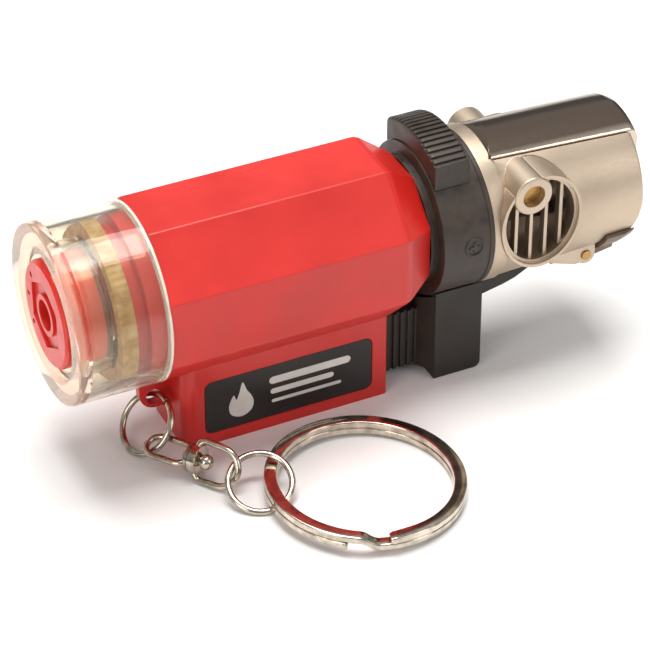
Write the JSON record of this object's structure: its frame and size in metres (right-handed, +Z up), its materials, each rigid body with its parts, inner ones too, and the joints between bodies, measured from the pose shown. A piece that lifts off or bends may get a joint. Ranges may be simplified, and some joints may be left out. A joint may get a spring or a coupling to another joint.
{
  "type": "butane torch",
  "caption": "Pocket butane torch with an octagonal housing, clear tank end, thumb trigger, flip lid over the burner and a key-ring chain.",
  "frame": {"origin": "centre of the refill port at the filler end face, on the torch axis", "axes": "+X along the torch axis from the filler end to the flame end, +Z up away from the fin, -Y towards the side where the key-ring chain lies"},
  "size_m": [0.079, 0.0463, 0.0351],
  "materials": {
    "body_red": "semi-gloss",
    "plug_red": "semi-gloss",
    "clear_cup": "clear",
    "seal_amber": "satin",
    "seal_black": "matte",
    "label_black": "satin",
    "collar_black": "satin",
    "trigger_black": "satin",
    "inner_plastic": "matte",
    "inner_black": "matte",
    "ceramic": "matte",
    "brass": "machined",
    "steel": "satin",
    "spring_steel": "satin",
    "satin_nickel": "satin cast",
    "black_nickel": "polished",
    "gunmetal": "satin",
    "chain_nickel": "polished",
    "lead_blue": "gloss",
    "wick": "matte"
  },
  "bodies": {
    "housing": {"body_shell": "body_red", "label_plate": "label_black", "tank_cup": "clear_cup", "tank_seal_ring": "seal_amber", "filler_plug": "plug_red", "plug_gasket": "seal_black", "filler_valve_body": "brass", "filler_seal": "seal_black", "filler_spring": "spring_steel", "filler_end_plug": "brass", "tank_bulkhead": "inner_plastic", "bulkhead_o_ring": "seal_black", "gas_valve_body": "brass", "valve_seat": "seal_black", "fuel_wick": "wick", "valve_spring": "spring_steel", "lever_pin": "steel", "gas_tube": "brass", "piezo_case": "inner_plastic", "piezo_terminal": "brass", "piezo_crystal": "ceramic", "piezo_spring": "spring_steel", "ignition_lead": "lead_blue", "electrode_insulator": "ceramic", "electrode": "steel", "collar": "collar_black", "front_plate": "inner_black", "head_barrel": "satin_nickel", "air_grille_near": "satin_nickel", "air_grille_far": "satin_nickel", "lid_axle": "brass", "friction_washers": "spring_steel", "front_guard": "gunmetal", "guard_pin": "brass", "gas_jet": "brass", "mixing_tube": "brass", "burner_nut": "brass", "burner_tube": "steel", "flame_holder": "ceramic", "burner_bracket": "steel"},
    "filler_stem": {"filler_stem": "brass"},
    "trigger": {"trigger": "trigger_black", "piezo_plunger": "inner_plastic"},
    "valve_lever": {"valve_lever": "steel"},
    "valve_stem": {"valve_stem": "brass"},
    "adjuster": {"adjuster_tab": "collar_black", "adjuster_ring": "inner_black", "regulator_nut": "brass"},
    "lid": {"lid": "black_nickel"},
    "lug_ring": {"lug_ring": "chain_nickel"},
    "swivel_eye": {"swivel_eye": "chain_nickel"},
    "swivel_stirrup": {"swivel_stirrup": "chain_nickel"},
    "link_ring": {"link_ring": "chain_nickel"},
    "split_ring": {"split_ring": "chain_nickel"}
  },
  "joints": [
    {"name": "filler_stem_press", "type": "slide", "parent": "housing", "child": "filler_stem", "axis": [1, 0, 0], "range_m": [0, 0.001], "stiffness_N_per_m": 400, "springref_m": -0.0006, "deforming": ["filler_spring"]},
    {"name": "trigger_press", "type": "slide", "parent": "housing", "child": "trigger", "axis": [-1, 0, 0], "range_m": [0, 0.0035], "stiffness_N_per_m": 1500, "springref_m": -0.0008, "deforming": ["piezo_spring"]},
    {"name": "valve_lever_tilt", "type": "hinge", "parent": "housing", "child": "valve_lever", "pos_m": [0.0426, 0, -0.0093], "axis": [0, 1, 0], "range_deg": [0, 7.7]},
    {"name": "valve_stem_lift", "type": "slide", "parent": "housing", "child": "valve_stem", "axis": [1, 0, 0], "range_m": [0, 0.00136], "deforming": ["valve_spring"]},
    {"name": "flame_adjust", "type": "hinge", "parent": "housing", "child": "adjuster", "pos_m": [0.0516, 0, 0], "axis": [1, 0, 0], "range_deg": [-20, 20]},
    {"name": "lid_open", "type": "hinge", "parent": "housing", "child": "lid", "pos_m": [0.0611, 0, 0.0059], "axis": [0, -1, 0], "range_deg": [0, 65]},
    {"name": "lug_ring_swing", "type": "hinge", "parent": "housing", "child": "lug_ring", "pos_m": [0.0134, 0, -0.01624], "axis": [0, 1, 0], "range_deg": [-20, 10]},
    {"name": "swivel_eye_swing", "type": "hinge", "parent": "lug_ring", "child": "swivel_eye", "pos_m": [0.01183, -0.00598, -0.01965], "axis": [-0.6722, 0.139, -0.7272], "range_deg": [-12, 30]},
    {"name": "swivel_spin", "type": "hinge", "parent": "swivel_eye", "child": "swivel_stirrup", "pos_m": [0.01168, -0.00607, -0.01969], "axis": [0.5589, -0.8283, 0.0399], "continuous": true},
    {"name": "link_ring_swing", "type": "hinge", "parent": "swivel_stirrup", "child": "link_ring", "pos_m": [0.01801, -0.01565, -0.01947], "axis": [0.3919, 0.1559, 0.9067], "range_deg": [-30, 15]},
    {"name": "split_ring_swing", "type": "hinge", "parent": "link_ring", "child": "split_ring", "pos_m": [0.02058, -0.0211, -0.02002], "axis": [-0.102, -0.9948, 0.005], "range_deg": [-30, 4]}
  ],
  "couplings": [
    {"joint": "valve_lever_tilt", "follows": "trigger_press", "rad_per_m": 38},
    {"joint": "valve_stem_lift", "follows": "trigger_press", "ratio": 0.385}
  ]
}
